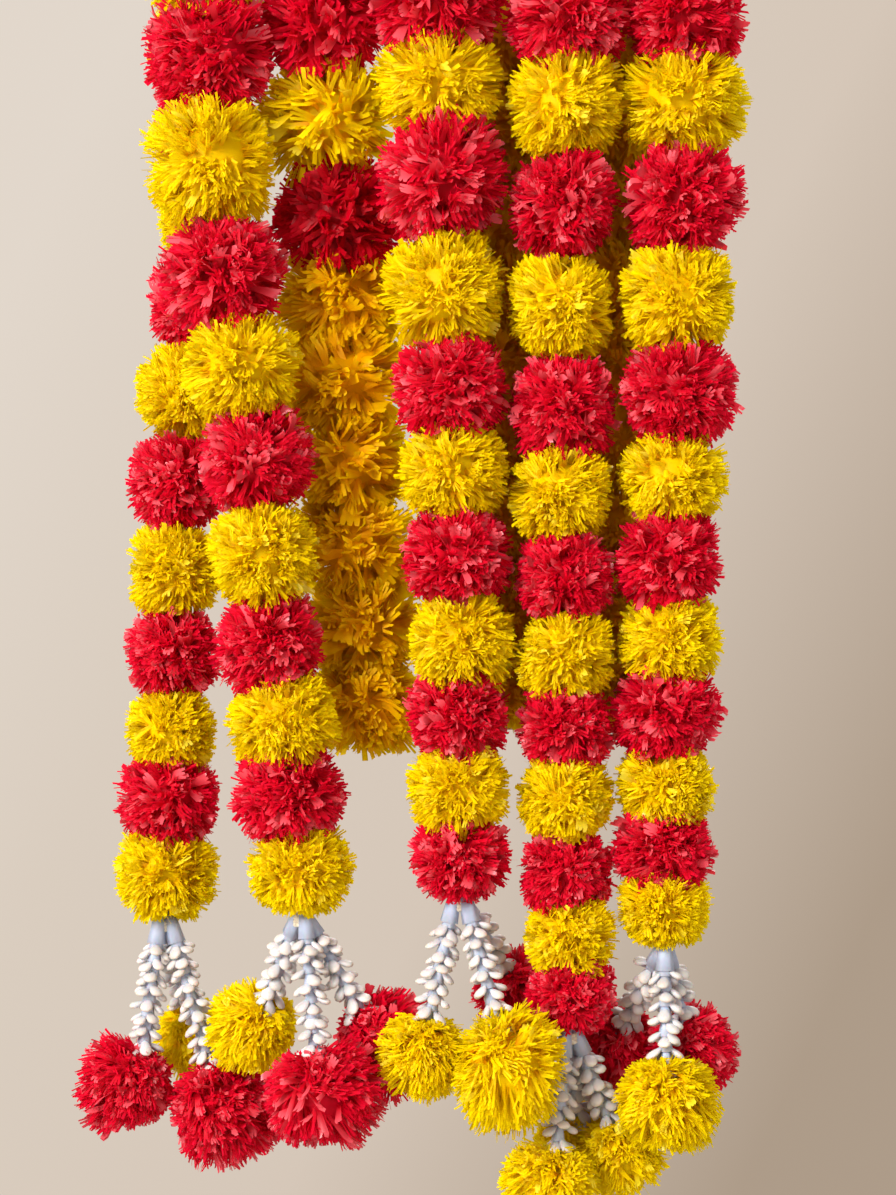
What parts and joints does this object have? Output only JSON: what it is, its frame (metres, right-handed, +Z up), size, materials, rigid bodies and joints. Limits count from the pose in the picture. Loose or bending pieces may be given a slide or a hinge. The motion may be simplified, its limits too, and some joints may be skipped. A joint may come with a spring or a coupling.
{
  "type": "marigold garland",
  "caption": "Hanging bunch of artificial marigold garlands: yellow and red fringed pompom blooms strung below a header cord, ending in tassels of white bud strings with pompoms",
  "frame": {"origin": "the middle of the header cord, from which the whole bunch hangs", "axes": "+Z up, the bunch hangs towards -Z; +X along the header cord to the right as seen from the front; the front with the tassels' longer strings faces -Y"},
  "size_m": [0.3545, 0.1568, 0.6999],
  "materials": {
    "yellow_film": "finely cut plastic film, soft sheen",
    "red_film": "finely cut plastic film with bright cut ends",
    "white_buds": "satin moulded buds, slightly blue near the knot",
    "cotton_cord": "twisted cotton"
  },
  "bodies": {
    "root": {"header_cord": "cotton_cord", "pompom_a_1_red": "red_film", "pompom_a_2_red": "red_film", "pompom_a_3_yellow": "yellow_film", "pompom_b_1_red": "red_film", "pompom_b_2_red": "red_film", "pompom_b_3_yellow": "yellow_film", "pompom_c_1_yellow": "yellow_film", "pompom_c_2_yellow": "yellow_film", "pompom_c_3_red": "red_film", "pompom_d_1_yellow": "yellow_film", "pompom_d_2_yellow": "yellow_film", "pompom_d_3_yellow": "yellow_film", "pompom_e_1_yellow": "yellow_film", "pompom_e_2_red": "red_film", "pompom_e_3_red": "red_film", "strand_a_red_bloom_10": "red_film", "strand_a_red_bloom_2": "red_film", "strand_a_red_bloom_4": "red_film", "strand_a_red_bloom_6": "red_film", "strand_a_red_bloom_8": "red_film", "strand_a_yellow_blooms": "yellow_film", "strand_b_red_bloom_10": "red_film", "strand_b_red_bloom_2": "red_film", "strand_b_red_bloom_4": "red_film", "strand_b_red_bloom_6": "red_film", "strand_b_red_bloom_8": "red_film", "strand_b_yellow_blooms": "yellow_film", "strand_c_red_bloom_1": "red_film", "strand_c_red_bloom_11": "red_film", "strand_c_red_bloom_3": "red_film", "strand_c_red_bloom_5": "red_film", "strand_c_red_bloom_7": "red_film", "strand_c_red_bloom_9": "red_film", "strand_c_yellow_blooms": "yellow_film", "strand_d_red_bloom_1": "red_film", "strand_d_red_bloom_11": "red_film", "strand_d_red_bloom_13": "red_film", "strand_d_red_bloom_3": "red_film", "strand_d_red_bloom_5": "red_film", "strand_d_red_bloom_7": "red_film", "strand_d_red_bloom_9": "red_film", "strand_d_yellow_blooms": "yellow_film", "strand_e_red_bloom_1": "red_film", "strand_e_red_bloom_11": "red_film", "strand_e_red_bloom_3": "red_film", "strand_e_red_bloom_5": "red_film", "strand_e_red_bloom_7": "red_film", "strand_e_red_bloom_9": "red_film", "strand_e_yellow_blooms": "yellow_film", "strand_f_red_bloom_1": "red_film", "strand_f_red_bloom_3": "red_film", "strand_f_yellow_blooms": "yellow_film", "strand_g_yellow_blooms": "yellow_film", "strand_h_yellow_blooms": "yellow_film", "tassel_a": "white_buds", "tassel_b": "white_buds", "tassel_c": "white_buds", "tassel_d": "white_buds", "tassel_e": "white_buds"}
  },
  "joints": []
}
